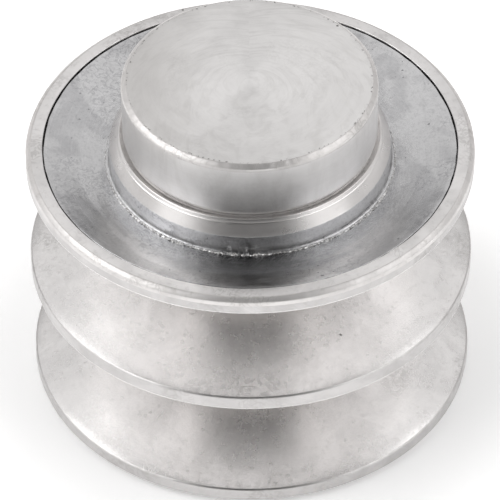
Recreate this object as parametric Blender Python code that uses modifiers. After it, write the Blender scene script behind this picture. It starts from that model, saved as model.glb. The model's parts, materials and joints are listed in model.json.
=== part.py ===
"""Two-groove V-belt idler pulley: grooved rim on a cast hub, turning on two sealed ball bearings round a fixed spindle.

Lengths are written in millimetres and turned into metres by MM. Local heights start at the rim's lower face;
SEAT_PROUD lifts them so that the spindle's seat face lies at z = 0. The pulley spins about +Z.
"""

import math

import bmesh
import bpy
from mathutils import Matrix

MM = 0.001

# Driving dimensions
OUTER_RADIUS = 32.5
RIM_WIDTH = 40.5
TOTAL_WIDTH = 52.7
GROOVE_PITCH = 19.0
GROOVE_MOUTH = 16.74
GROOVE_ANGLE = math.radians(34.0)
GROOVE_DEPTH = 14.3
GROOVE_ROOT_RADIUS = 1.0
LOWER_GROOVE_HEIGHT = 10.42
SEAT_PROUD = 0.8
GAP = 0.3

# Rim
RIM_CORNER_RADIUS = 0.8
RIM_BASE_CORNER_RADIUS = 0.3
RIM_FACE_INNER_RADIUS = 30.2
BASE_RECESS_RADIUS = 29.3
BASE_RECESS_DEPTH = 1.2
RIM_BORE_RADIUS = 16.5
SEAT_INNER_HEIGHT = 35.2
SEAT_OUTER_HEIGHT = 38.5

# Cast hub
WEB_EDGE_HEIGHT = 40.1
WEB_FOOT_RADIUS = 21.0
WEB_FOOT_HEIGHT = 38.1
COLLAR_FOOT_RADIUS = 20.6
COLLAR_CAST_RADIUS = 20.33
COLLAR_CAST_HEIGHT = 41.03
COLLAR_LIP_RADIUS = 19.0
COLLAR_LIP_HEIGHT = 43.2
HOUSING_RADIUS = 14.15
HOUSING_SHOULDER_RADIUS = 12.3
CAP_SEAT_RADIUS = 15.5
CAP_SEAT_HEIGHT = 39.3
MOUTH_CHAMFER = 0.5

# Cap
CAP_RADIUS = 18.4
CAP_CORNER = 0.67
CAP_FOOT_RADIUS = 17.7
CAP_FOOT_HEIGHT = 44.3
CAP_CAVITY_RADIUS = 12.9
CAP_CROWN_THICKNESS = 3.5
O_RING_THICKNESS = 0.9
O_RING_HEIGHT = 41.65

# Bearings, 12 x 28 x 8 mm
BEARING_WIDTH = 8.0
BEARING_BORE_RADIUS = 6.15
BEARING_OUTER_RADIUS = 13.85
BEARING_CHAMFER = 0.3
BALL_PITCH_RADIUS = 10.0
BALL_RADIUS = 2.3
BALL_COUNT = 8
RACEWAY_RADIUS = 2.55
INNER_LAND_RADIUS = 8.3
OUTER_LAND_RADIUS = 11.7
CAGE_THICKNESS = 1.4
CAGE_WIDTH = 6.2
SEAL_THICKNESS = 0.5

# Circlip and shaft seal in the housing mouth
CIRCLIP_THICKNESS = 1.15
CIRCLIP_RADIUS = 14.6
CIRCLIP_GROOVE_RADIUS = 14.9
CIRCLIP_BAND = 2.1
CIRCLIP_OPENING = math.radians(16.0)
CIRCLIP_LUG_RADIUS = 1.5
CIRCLIP_HOLE_RADIUS = 0.75
SHAFT_SEAL_TOP = 4.35
SHAFT_SEAL_BOTTOM = 1.6

# Spindle
SPINDLE_RADIUS = 5.85
SPINDLE_TOP = 43.0
SPINDLE_NECK_RADIUS = 8.0
SPINDLE_FLANGE_RADIUS = 11.5
SPINDLE_FLANGE_TOP = 1.2
SPINDLE_CHAMFER = 0.65
BOLT_HOLE_RADIUS = 3.4
BOLT_HOLE_TOP = 24.0
NUT_FLATS = 18.0
NUT_HEIGHT = 6.0
WASHER_RADIUS = 9.0
WASHER_THICKNESS = 1.2

# Facets round the axis
BODY_FACETS = 48
SMALL_FACETS = 24
BALL_FACETS = 10

FULL_TURN = math.tau

# Colour, roughness and metallic value of each finish
FINISHES = {
    "turned_aluminium": ((0.62, 0.60, 0.59), 0.32, 1.0),
    "cast_aluminium": ((0.47, 0.47, 0.49), 0.45, 1.0),
    "faced_aluminium": ((0.64, 0.62, 0.61), 0.30, 1.0),
    "bearing_steel": ((0.55, 0.55, 0.56), 0.12, 1.0),
    "cage_steel": ((0.50, 0.49, 0.47), 0.30, 1.0),
    "spring_steel": ((0.10, 0.10, 0.11), 0.40, 1.0),
    "zinc_steel": ((0.58, 0.59, 0.60), 0.28, 1.0),
    "rubber": ((0.02, 0.02, 0.02), 0.70, 0.0),
}


def clear_scene():
    for obj in list(bpy.data.objects):
        bpy.data.objects.remove(obj, do_unlink=True)


def add_collection(name):
    collection = bpy.data.collections.new(name)
    bpy.context.scene.collection.children.link(collection)
    return collection


def make_finish(name):
    colour, roughness, metallic = FINISHES[name]
    finish = bpy.data.materials.new(name)
    finish.use_nodes = True
    shader = finish.node_tree.nodes["Principled BSDF"]
    shader.inputs["Base Color"].default_value = (*colour, 1.0)
    shader.inputs["Roughness"].default_value = roughness
    shader.inputs["Metallic"].default_value = metallic
    return finish


def arc(centre, radius, start_deg, end_deg, steps):
    """Points on an arc in the (radius, height) plane, both ends included."""
    angles = [math.radians(start_deg + (end_deg - start_deg) * i / steps) for i in range(steps + 1)]
    return [(centre[0] + radius * math.cos(a), centre[1] + radius * math.sin(a)) for a in angles]


def mirrored(points, height):
    """The same outline reflected about a height, in the opposite order."""
    return [(r, 2.0 * height - z) for r, z in reversed(points)]


class Workshop:
    """Holds the collections, finishes and axis empties that every piece is placed with."""

    def __init__(self):
        self.parts = add_collection("v_belt_pulley")
        self.cutters = add_collection("cutters")
        self.finishes = {name: make_finish(name) for name in FINISHES}

    def axis(self, name, height, parent=None):
        empty = bpy.data.objects.new(name, None)
        empty.empty_display_size = 0.02
        empty.location = (0.0, 0.0, height * MM)
        empty.parent = parent
        self.parts.objects.link(empty)
        return empty

    def place(self, name, mesh, finish, parent, location=(0.0, 0.0, 0.0)):
        """Adds a mesh as a part, at a location in millimetres from its parent axis."""
        obj = bpy.data.objects.new(name, mesh)
        mesh.materials.clear()
        mesh.materials.append(self.finishes[finish])
        obj.parent = parent
        obj.location = [v * MM for v in location]
        self.parts.objects.link(obj)
        return obj

    def cut(self, obj, mesh, name, operation="DIFFERENCE"):
        """Puts a hidden cutter beside a part and cuts the part with it."""
        cutter = bpy.data.objects.new(name, mesh)
        cutter.parent = obj.parent
        cutter.location = obj.location
        cutter.hide_render = True
        cutter.display_type = "WIRE"
        self.cutters.objects.link(cutter)
        boolean = obj.modifiers.new(name, "BOOLEAN")
        boolean.operation = operation
        boolean.solver = "EXACT"
        boolean.object = cutter

    def turned(self, name, profile, finish, parent, height=0.0, facets=SMALL_FACETS):
        """A turned piece: an outline in (radius, height), down its outer side, swept round the axis."""
        mesh = bpy.data.meshes.new(name)
        points = [(r * MM, 0.0, z * MM) for r, z in profile]
        edges = [(i, i + 1) for i in range(len(points) - 1)]
        starts_on_axis = profile[0][0] == 0.0
        if not starts_on_axis:
            edges.append((len(points) - 1, 0))
        mesh.from_pydata(points, edges, [])
        obj = self.place(name, mesh, finish, parent, (0.0, 0.0, height))
        screw = obj.modifiers.new("turn", "SCREW")
        screw.axis = "Z"
        screw.angle = FULL_TURN
        screw.steps = facets
        screw.render_steps = facets
        screw.use_merge_vertices = True
        screw.merge_threshold = 0.00001
        screw.use_smooth_shade = True
        return obj


def shade_round(mesh):
    mesh.shade_smooth()
    mesh.set_sharp_from_angle(angle=math.radians(35.0))


def finished_mesh(bm, name):
    """Turns a bmesh drawn in millimetres into a mesh in metres."""
    bmesh.ops.scale(bm, vec=(MM, MM, MM), verts=bm.verts)
    bmesh.ops.recalc_face_normals(bm, faces=bm.faces)
    mesh = bpy.data.meshes.new(name)
    bm.to_mesh(mesh)
    bm.free()
    shade_round(mesh)
    return mesh


def groove_outline(centre):
    """One V groove, from its upper edge down to its lower edge, with rounded root corners."""
    half_angle = GROOVE_ANGLE / 2.0
    tilt = math.tan(half_angle)
    root = OUTER_RADIUS - GROOVE_DEPTH
    half_mouth = GROOVE_MOUTH / 2.0
    half_root = half_mouth - GROOVE_DEPTH * tilt
    corner_r = root + GROOVE_ROOT_RADIUS
    corner_z = centre + half_root + GROOVE_ROOT_RADIUS * (tilt - 1.0 / math.cos(half_angle))
    wall_deg = 90.0 + math.degrees(half_angle)
    upper = [(OUTER_RADIUS, centre + half_mouth)]
    upper += arc((corner_r, corner_z), GROOVE_ROOT_RADIUS, wall_deg, 180.0, 2)
    return upper + mirrored(upper, centre)


def build_rim(shop, parent):
    """The turned ring that carries the belts, with a dished seat for the hub's web and a plain bore."""
    top_corner = (OUTER_RADIUS - RIM_CORNER_RADIUS, RIM_WIDTH - RIM_CORNER_RADIUS)
    base_corner = (OUTER_RADIUS - RIM_BASE_CORNER_RADIUS, RIM_BASE_CORNER_RADIUS)
    profile = [(RIM_FACE_INNER_RADIUS, RIM_WIDTH)]
    profile += arc(top_corner, RIM_CORNER_RADIUS, 90.0, 0.0, 3)
    profile += groove_outline(LOWER_GROOVE_HEIGHT + GROOVE_PITCH)
    profile += groove_outline(LOWER_GROOVE_HEIGHT)
    profile += arc(base_corner, RIM_BASE_CORNER_RADIUS, 0.0, -90.0, 1)
    profile += [
        (BASE_RECESS_RADIUS, 0.0),
        (BASE_RECESS_RADIUS - MOUTH_CHAMFER, BASE_RECESS_DEPTH),
        (RIM_BORE_RADIUS, BASE_RECESS_DEPTH),
        (RIM_BORE_RADIUS, SEAT_INNER_HEIGHT),
        (RIM_FACE_INNER_RADIUS, SEAT_OUTER_HEIGHT),
    ]
    shop.turned("grooved_rim", profile, "turned_aluminium", parent, SEAT_PROUD, BODY_FACETS)


def build_hub(shop, parent, circlip_height):
    """The casting inside the rim: dished web, collar, and the barrel that houses both bearings."""
    web_edge = RIM_FACE_INNER_RADIUS - GAP
    barrel = RIM_BORE_RADIUS - GAP
    shoulder = LOWER_GROOVE_HEIGHT + GROOVE_PITCH + BEARING_WIDTH / 2.0 + GAP
    half_slot = CIRCLIP_THICKNESS / 2.0 + GAP
    profile = [
        (CAP_SEAT_RADIUS, COLLAR_LIP_HEIGHT),
        (COLLAR_LIP_RADIUS - 0.4, COLLAR_LIP_HEIGHT),
        (COLLAR_LIP_RADIUS, COLLAR_LIP_HEIGHT - 0.25),
        (COLLAR_CAST_RADIUS, COLLAR_CAST_HEIGHT),
        (COLLAR_FOOT_RADIUS, WEB_FOOT_HEIGHT + 0.6),
        (WEB_FOOT_RADIUS, WEB_FOOT_HEIGHT),
        (web_edge, WEB_EDGE_HEIGHT),
        (web_edge, SEAT_OUTER_HEIGHT + GAP),
        (barrel, SEAT_INNER_HEIGHT + GAP),
        (barrel, BASE_RECESS_DEPTH),
        (HOUSING_RADIUS + MOUTH_CHAMFER, BASE_RECESS_DEPTH),
        (HOUSING_RADIUS, BASE_RECESS_DEPTH + MOUTH_CHAMFER),
        (HOUSING_RADIUS, circlip_height - half_slot),
        (CIRCLIP_GROOVE_RADIUS, circlip_height - half_slot),
        (CIRCLIP_GROOVE_RADIUS, circlip_height + half_slot),
        (HOUSING_RADIUS, circlip_height + half_slot),
        (HOUSING_RADIUS, shoulder),
        (HOUSING_SHOULDER_RADIUS, shoulder),
        (HOUSING_SHOULDER_RADIUS, CAP_SEAT_HEIGHT),
        (CAP_SEAT_RADIUS, CAP_SEAT_HEIGHT),
    ]
    shop.turned("cast_hub", profile, "cast_aluminium", parent, SEAT_PROUD, BODY_FACETS)


def build_cap(shop, parent):
    """The closed boss: a hollow cap whose spigot plugs the hub, sealed by an O-ring."""
    spigot = CAP_SEAT_RADIUS - GAP
    ring_radius = O_RING_THICKNESS / 2.0
    ring_pitch = spigot - ring_radius
    slot_floor = ring_pitch - ring_radius - GAP
    half_slot = ring_radius + GAP
    corner = (CAP_RADIUS - CAP_CORNER, TOTAL_WIDTH - CAP_CORNER)
    ceiling = TOTAL_WIDTH - CAP_CROWN_THICKNESS
    profile = [(0.0, TOTAL_WIDTH)]
    profile += arc(corner, CAP_CORNER, 90.0, 0.0, 2)
    profile += [
        (CAP_RADIUS, CAP_FOOT_HEIGHT),
        (CAP_FOOT_RADIUS, COLLAR_LIP_HEIGHT + GAP),
        (spigot, COLLAR_LIP_HEIGHT + GAP),
        (spigot, O_RING_HEIGHT + half_slot),
        (slot_floor, O_RING_HEIGHT + half_slot),
        (slot_floor, O_RING_HEIGHT - half_slot),
        (spigot, O_RING_HEIGHT - half_slot),
        (spigot, CAP_SEAT_HEIGHT + GAP),
        (CAP_CAVITY_RADIUS, CAP_SEAT_HEIGHT + GAP),
        (CAP_CAVITY_RADIUS, ceiling - 1.5),
        (CAP_CAVITY_RADIUS - 1.5, ceiling),
        (0.0, ceiling),
    ]
    shop.turned("hub_cap", profile, "faced_aluminium", parent, SEAT_PROUD, BODY_FACETS)
    ring = arc((ring_pitch, O_RING_HEIGHT), ring_radius, 90.0, -225.0, 7)
    shop.turned("cap_o_ring", ring, "rubber", parent, SEAT_PROUD)


def raceway(start_deg, end_deg):
    return arc((BALL_PITCH_RADIUS, 0.0), RACEWAY_RADIUS, start_deg, end_deg, 4)


def outer_ring_outline():
    half = BEARING_WIDTH / 2.0
    edge = half - BEARING_CHAMFER
    reach = math.degrees(math.acos((OUTER_LAND_RADIUS - BALL_PITCH_RADIUS) / RACEWAY_RADIUS))
    outline = [
        (OUTER_LAND_RADIUS, half),
        (BEARING_OUTER_RADIUS - BEARING_CHAMFER, half),
        (BEARING_OUTER_RADIUS, edge),
        (BEARING_OUTER_RADIUS, -edge),
        (BEARING_OUTER_RADIUS - BEARING_CHAMFER, -half),
        (OUTER_LAND_RADIUS, -half),
    ]
    return outline + raceway(-reach, reach)


def inner_ring_outline():
    half = BEARING_WIDTH / 2.0
    edge = half - BEARING_CHAMFER
    reach = math.degrees(math.acos((BALL_PITCH_RADIUS - INNER_LAND_RADIUS) / RACEWAY_RADIUS))
    outline = [(INNER_LAND_RADIUS, half)]
    outline += raceway(180.0 - reach, 180.0 + reach)
    outline += [
        (INNER_LAND_RADIUS, -half),
        (BEARING_BORE_RADIUS + BEARING_CHAMFER, -half),
        (BEARING_BORE_RADIUS, -edge),
        (BEARING_BORE_RADIUS, edge),
        (BEARING_BORE_RADIUS + BEARING_CHAMFER, half),
    ]
    return outline


def plate_outline(inner, outer, low, high):
    """The square section of a plain ring."""
    return [(inner, high), (outer, high), (outer, low), (inner, low)]


def ball_angles():
    return [FULL_TURN * i / BALL_COUNT for i in range(BALL_COUNT)]


def ball_mesh():
    bm = bmesh.new()
    bmesh.ops.create_uvsphere(bm, u_segments=BALL_FACETS, v_segments=BALL_FACETS - 4, radius=BALL_RADIUS)
    return finished_mesh(bm, "ball")


def pocket_cutter():
    """Eight radial drills, one through each ball pocket of a cage."""
    bm = bmesh.new()
    for angle in ball_angles():
        drill = bmesh.ops.create_cone(
            bm,
            cap_ends=True,
            segments=BALL_FACETS + 2,
            radius1=RACEWAY_RADIUS,
            radius2=RACEWAY_RADIUS,
            depth=CAGE_THICKNESS * 3.0,
        )["verts"]
        bmesh.ops.transform(bm, matrix=pocket_turn(angle), verts=drill)
    return finished_mesh(bm, "ball_pockets")


def pocket_turn(angle):
    """Lays an upright drill along +X at the ball pitch, then turns it about the axis."""
    lie_down = Matrix.Rotation(math.radians(90.0), 4, "Y")
    out = Matrix.Translation((BALL_PITCH_RADIUS, 0.0, 0.0))
    return Matrix.Rotation(angle, 4, "Z") @ out @ lie_down


def build_cage(shop, name, cage_axis):
    half = CAGE_WIDTH / 2.0
    inner = BALL_PITCH_RADIUS - CAGE_THICKNESS / 2.0
    outer = BALL_PITCH_RADIUS + CAGE_THICKNESS / 2.0
    cage = shop.turned(name + "_cage", plate_outline(inner, outer, -half, half), "cage_steel", cage_axis)
    shop.cut(cage, pocket_cutter(), name + "_pockets")
    for number, angle in enumerate(ball_angles(), start=1):
        place = (BALL_PITCH_RADIUS * math.cos(angle), BALL_PITCH_RADIUS * math.sin(angle), 0.0)
        shop.place(f"{name}_ball_{number}", ball_mesh(), "bearing_steel", cage_axis, place)


def build_bearing(shop, name, height, axle, pulley, cage_axis):
    """A deep groove ball bearing: outer ring and seals turn with the pulley, the inner ring stays."""
    half = BEARING_WIDTH / 2.0
    level = SEAT_PROUD + height
    shop.turned(name + "_outer_ring", outer_ring_outline(), "bearing_steel", pulley, level)
    shop.turned(name + "_inner_ring", inner_ring_outline(), "bearing_steel", axle, level)
    seal = plate_outline(INNER_LAND_RADIUS + GAP, OUTER_LAND_RADIUS - GAP, 0.0, SEAL_THICKNESS)
    top = level + half - SEAL_THICKNESS - 0.1
    bottom = level - half + 0.1
    shop.turned(name + "_top_seal", seal, "rubber", pulley, top)
    shop.turned(name + "_bottom_seal", seal, "rubber", pulley, bottom)
    build_cage(shop, name, cage_axis)


def build_spacers(shop, axle, pulley):
    """The two sleeves that hold the bearings apart, one under each pair of rings."""
    low = LOWER_GROOVE_HEIGHT + BEARING_WIDTH / 2.0 + GAP
    high = LOWER_GROOVE_HEIGHT + GROOVE_PITCH - BEARING_WIDTH / 2.0 - GAP
    inner = plate_outline(BEARING_BORE_RADIUS, INNER_LAND_RADIUS, low, high)
    outer = plate_outline(OUTER_LAND_RADIUS, BEARING_OUTER_RADIUS, low, high)
    shop.turned("inner_spacer", inner, "zinc_steel", axle, SEAT_PROUD)
    shop.turned("outer_spacer", outer, "zinc_steel", pulley, SEAT_PROUD)


def circlip_outline(steps):
    """The clip's outline: outer arc, a lug, inner arc back, and the other lug; its gap faces +X."""
    start = CIRCLIP_OPENING / 2.0
    sweep = FULL_TURN - CIRCLIP_OPENING
    angles = [start + sweep * i / steps for i in range(steps + 1)]
    outer = [(CIRCLIP_RADIUS * math.cos(a), CIRCLIP_RADIUS * math.sin(a)) for a in angles]
    lug_reach = CIRCLIP_RADIUS - 2.0 * CIRCLIP_LUG_RADIUS - 0.4
    lug_angle = 2.0 * CIRCLIP_LUG_RADIUS / CIRCLIP_RADIUS
    inner = []
    for a in reversed(angles):
        from_end = min(a - start, start + sweep - a)
        radius = lug_reach if from_end < lug_angle else CIRCLIP_RADIUS - CIRCLIP_BAND
        inner.append((radius * math.cos(a), radius * math.sin(a)))
    return outer + inner


def add_outline(curve, points):
    spline = curve.splines.new("POLY")
    spline.points.add(len(points) - 1)
    for point, (x, y) in zip(spline.points, points):
        point.co = (x * MM, y * MM, 0.0, 1.0)
    spline.use_cyclic_u = True


def build_circlip(shop, parent, height):
    """An internal circlip cut from flat spring steel, with a plier hole in each lug."""
    curve = bpy.data.curves.new("circlip", "CURVE")
    curve.dimensions = "2D"
    curve.fill_mode = "BOTH"
    curve.extrude = CIRCLIP_THICKNESS * MM / 2.0
    add_outline(curve, circlip_outline(48))
    hole_radius_at = CIRCLIP_RADIUS - CIRCLIP_LUG_RADIUS - 0.2
    hole_angle = CIRCLIP_OPENING / 2.0 + CIRCLIP_LUG_RADIUS / CIRCLIP_RADIUS
    for side in (-1.0, 1.0):
        x = hole_radius_at * math.cos(hole_angle)
        y = side * hole_radius_at * math.sin(hole_angle)
        turns = [FULL_TURN * i / 10 for i in range(10)]
        hole = [(x + CIRCLIP_HOLE_RADIUS * math.cos(t), y + CIRCLIP_HOLE_RADIUS * math.sin(t)) for t in turns]
        add_outline(curve, hole)
    clip = bpy.data.objects.new("circlip_outline", curve)
    shop.parts.objects.link(clip)
    bpy.context.view_layer.update()
    mesh = bpy.data.meshes.new_from_object(clip.evaluated_get(bpy.context.evaluated_depsgraph_get()))
    bpy.data.objects.remove(clip)
    bm = bmesh.new()
    bm.from_mesh(mesh)
    bmesh.ops.remove_doubles(bm, verts=bm.verts, dist=0.000001)
    bmesh.ops.recalc_face_normals(bm, faces=bm.faces)
    bm.to_mesh(mesh)
    bm.free()
    shade_round(mesh)
    shop.place("circlip", mesh, "spring_steel", parent, (0.0, 0.0, SEAT_PROUD + height))


def build_shaft_seal(shop, parent):
    """A rubber-covered seal in the housing mouth, its lip leaning against the spindle's neck."""
    lip = SPINDLE_NECK_RADIUS + GAP
    profile = [
        (lip + 1.0, SHAFT_SEAL_TOP),
        (BEARING_OUTER_RADIUS, SHAFT_SEAL_TOP),
        (BEARING_OUTER_RADIUS, SHAFT_SEAL_BOTTOM + GAP),
        (BEARING_OUTER_RADIUS - GAP, SHAFT_SEAL_BOTTOM),
        (BEARING_OUTER_RADIUS - 1.1, SHAFT_SEAL_BOTTOM),
        (BEARING_OUTER_RADIUS - 1.1, SHAFT_SEAL_TOP - 1.0),
        (lip + 1.9, SHAFT_SEAL_TOP - 1.0),
        (lip + 0.9, SHAFT_SEAL_BOTTOM + 0.5),
        (lip, SHAFT_SEAL_BOTTOM + 0.7),
        (lip, SHAFT_SEAL_BOTTOM + 1.1),
    ]
    shop.turned("shaft_seal", profile, "rubber", parent, SEAT_PROUD)


def build_spindle(shop, parent):
    """The fixed stub axle: seat flange, neck, bearing journal, and a blind bolt hole from below."""
    shoulder = LOWER_GROOVE_HEIGHT - BEARING_WIDTH / 2.0 - GAP
    edge = 0.3
    profile = [
        (0.0, SPINDLE_TOP),
        (SPINDLE_RADIUS - SPINDLE_CHAMFER, SPINDLE_TOP),
        (SPINDLE_RADIUS, SPINDLE_TOP - SPINDLE_CHAMFER),
        (SPINDLE_RADIUS, shoulder),
        (SPINDLE_NECK_RADIUS, shoulder),
        (SPINDLE_NECK_RADIUS, SPINDLE_FLANGE_TOP),
        (SPINDLE_FLANGE_RADIUS - edge, SPINDLE_FLANGE_TOP),
        (SPINDLE_FLANGE_RADIUS, SPINDLE_FLANGE_TOP - edge),
        (SPINDLE_FLANGE_RADIUS, edge - SEAT_PROUD),
        (SPINDLE_FLANGE_RADIUS - edge, -SEAT_PROUD),
        (BOLT_HOLE_RADIUS + 1.0, -SEAT_PROUD),
        (BOLT_HOLE_RADIUS, 1.0 - SEAT_PROUD),
        (BOLT_HOLE_RADIUS, BOLT_HOLE_TOP),
        (0.0, BOLT_HOLE_TOP + BOLT_HOLE_RADIUS * 0.6),
    ]
    shop.turned("spindle", profile, "zinc_steel", parent, SEAT_PROUD)


def hexagon_mesh():
    bm = bmesh.new()
    corner = NUT_FLATS / math.sqrt(3.0)
    bmesh.ops.create_cone(bm, cap_ends=True, segments=6, radius1=corner, radius2=corner, depth=NUT_HEIGHT)
    return finished_mesh(bm, "spindle_nut")


def drill_mesh(radius, depth):
    bm = bmesh.new()
    bmesh.ops.create_cone(bm, cap_ends=True, segments=SMALL_FACETS, radius1=radius, radius2=radius, depth=depth)
    return finished_mesh(bm, "drill")


def build_nut(shop, parent, low):
    """The hexagon nut that clamps both inner rings against the spindle's shoulder."""
    height = SEAT_PROUD + low + NUT_HEIGHT / 2.0
    nut = shop.place("spindle_nut", hexagon_mesh(), "zinc_steel", parent, (0.0, 0.0, height))
    shop.cut(nut, drill_mesh(BEARING_BORE_RADIUS, NUT_HEIGHT * 2.0), "nut_bore")


def build_clamp_stack(shop, parent):
    """Washer and nut on the spindle's upper end, inside the cap."""
    low = LOWER_GROOVE_HEIGHT + GROOVE_PITCH + BEARING_WIDTH / 2.0 + GAP
    washer = plate_outline(BEARING_BORE_RADIUS, WASHER_RADIUS, low, low + WASHER_THICKNESS)
    shop.turned("spindle_washer", washer, "zinc_steel", parent, SEAT_PROUD)
    build_nut(shop, parent, low + WASHER_THICKNESS + GAP)


def main():
    clear_scene()
    shop = Workshop()
    lower = LOWER_GROOVE_HEIGHT
    upper = LOWER_GROOVE_HEIGHT + GROOVE_PITCH
    circlip_height = lower - BEARING_WIDTH / 2.0 - GAP - CIRCLIP_THICKNESS / 2.0
    axle = shop.axis("axle_axis", 0.0)
    pulley = shop.axis("pulley_axis", 0.0, axle)
    lower_cage = shop.axis("lower_cage_axis", SEAT_PROUD + lower, axle)
    upper_cage = shop.axis("upper_cage_axis", SEAT_PROUD + upper, axle)
    build_rim(shop, pulley)
    build_hub(shop, pulley, circlip_height)
    build_cap(shop, pulley)
    build_bearing(shop, "lower_bearing", lower, axle, pulley, lower_cage)
    build_bearing(shop, "upper_bearing", upper, axle, pulley, upper_cage)
    build_spacers(shop, axle, pulley)
    build_circlip(shop, pulley, circlip_height)
    build_shaft_seal(shop, pulley)
    build_spindle(shop, axle)
    build_clamp_stack(shop, axle)


main()
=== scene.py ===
"""Looks for the V-belt pulley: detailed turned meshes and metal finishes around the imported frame.

Lengths are written in millimetres and turned into metres by MM. Heights inside the pulley start at the
rim's lower face, RIM_BASE above the floor. The spin axis is the world's Z axis.
"""

import json
import math

import bmesh
import bpy
import numpy as np
from mathutils import Matrix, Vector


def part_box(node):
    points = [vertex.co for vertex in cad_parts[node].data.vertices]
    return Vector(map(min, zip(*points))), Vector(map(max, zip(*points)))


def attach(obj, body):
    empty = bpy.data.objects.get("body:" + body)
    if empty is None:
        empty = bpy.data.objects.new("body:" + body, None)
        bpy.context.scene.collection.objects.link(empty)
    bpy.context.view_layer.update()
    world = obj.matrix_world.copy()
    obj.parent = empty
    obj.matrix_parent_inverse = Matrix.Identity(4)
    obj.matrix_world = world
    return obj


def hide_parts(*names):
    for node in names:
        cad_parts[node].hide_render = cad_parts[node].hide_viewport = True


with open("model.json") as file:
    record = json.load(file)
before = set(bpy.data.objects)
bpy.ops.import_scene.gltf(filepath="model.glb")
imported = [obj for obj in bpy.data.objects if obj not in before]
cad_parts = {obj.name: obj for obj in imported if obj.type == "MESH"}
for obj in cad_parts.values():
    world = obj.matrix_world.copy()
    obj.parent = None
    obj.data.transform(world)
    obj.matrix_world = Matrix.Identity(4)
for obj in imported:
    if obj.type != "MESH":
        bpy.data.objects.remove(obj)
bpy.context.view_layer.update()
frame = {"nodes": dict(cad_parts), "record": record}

MM = 0.001
FULL_TURN = math.tau

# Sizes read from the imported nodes, in millimetres
OUTER_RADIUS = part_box("grooved_rim")[1].x / MM
RIM_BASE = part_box("grooved_rim")[0].z / MM
RIM_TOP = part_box("grooved_rim")[1].z / MM - RIM_BASE
CAP_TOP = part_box("hub_cap")[1].z / MM - RIM_BASE
CAP_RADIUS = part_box("hub_cap")[1].x / MM
WEB_EDGE_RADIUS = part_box("cast_hub")[1].x / MM
COLLAR_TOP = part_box("cast_hub")[1].z / MM - RIM_BASE

# The rim's outline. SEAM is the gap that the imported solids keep, SEAM_SEEN the finer line in the photo
GROOVE_PITCH = 19.0
GROOVE_MOUTH = 16.74
HALF_ANGLE = math.radians(17.0)
GROOVE_DEPTH = 14.3
LOWER_GROOVE = 10.42
SEAM = 0.3
SEAM_SEEN = 0.15
SEAT_INNER = 35.2
SEAT_OUTER = 38.5
RIM_BORE = 16.5
BASE_RECESS = 1.2
EDGE_RADIUS = 0.38
BEVEL_WIDTH = 0.62
BEVEL_ROUNDING = 0.4

# The hub's outline
WEB_EDGE_HEIGHT = 40.3
WEB_FOOT_RADIUS = 21.0
WEB_FOOT_HEIGHT = 38.1
COLLAR_CAST_RADIUS = 20.33
COLLAR_CAST_HEIGHT = 41.03
COLLAR_LIP_RADIUS = 19.0
HOUSING_RADIUS = 14.15
HOUSING_END = 33.72
CIRCLIP_GROOVE_RADIUS = 14.9
CIRCLIP_GROOVE_LOW = 4.67
CIRCLIP_GROOVE_HIGH = 6.42
CAP_SEAT = 15.5
CAP_POCKET = 39.3

# The cap's spigot, with its O-ring's groove
CAP_UNDERSIDE = 43.27
SPIGOT_RADIUS = 15.2
SPIGOT_END = 39.6
SPIGOT_BORE = 12.9
RING_GROOVE_RADIUS = 14.0
RING_GROOVE_LOW = 40.9
RING_GROOVE_HIGH = 42.4

# The spindle
SPINDLE_TOP = 43.0
SPINDLE_RADIUS = 5.85
SHOULDER_RADIUS = 8.0
SHOULDER_HEIGHT = 6.12
FLANGE_RADIUS = 11.5
FLANGE_HEIGHT = 1.2

# Its bolt hole, M8
BOLT_HOLE = 3.4
THREAD_PITCH = 1.25
THREAD_DEPTH = 0.6

# The burr at the collar's foot
BURR_RADIUS = 21.02
BURR_HEIGHT = 38.28
BURR_SIZE = 0.20

RIM_FACETS = 480
HUB_FACETS = 480
BURR_FACETS = 1440
SPINDLE_FACETS = 96
SEAL_FACETS = 192
RING_FACETS = 128

# Colours of what lies on the metal, shared by several finishes
# This colour darkens stains, turning marks and smudges, and is also painted as shade on the left side of the faced
# metal.
STAIN_AND_SHADE = (0.42, 0.405, 0.39)
PORE = (0.10, 0.095, 0.09)
BRIGHT_HAIR = (0.96, 0.955, 0.95)
RUBBED_CAST = (0.86, 0.86, 0.87)
# The black below is painted shade and a painted dark reflection, for the collar's foot on the front side.
PAINTED_SHADE = (0.04, 0.04, 0.04)


# ---------------------------------------------------------------- turned meshes


def unit(v):
    return v / max(np.linalg.norm(v), 1e-12)


def corner_arc(before, corner, after, radius, steps):
    """The points that replace a sharp corner of an outline with a tangent arc."""
    u = unit(before - corner)
    v = unit(after - corner)
    half = math.acos(float(np.clip(np.dot(u, v), -1.0, 1.0))) / 2.0
    room = 0.49 * min(np.linalg.norm(before - corner), np.linalg.norm(after - corner))
    run = min(radius / math.tan(half), room)
    radius = run * math.tan(half)
    centre = corner + unit(u + v) * radius / math.sin(half)
    first = corner + u * run - centre
    last = corner + v * run - centre
    sweep = math.pi - 2.0 * half
    places = np.linspace(0.0, 1.0, steps + 1)
    blend = [(math.sin(sweep * (1.0 - t)), math.sin(sweep * t)) for t in places]
    return [centre + (first * a + last * b) / math.sin(sweep) for a, b in blend]


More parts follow.
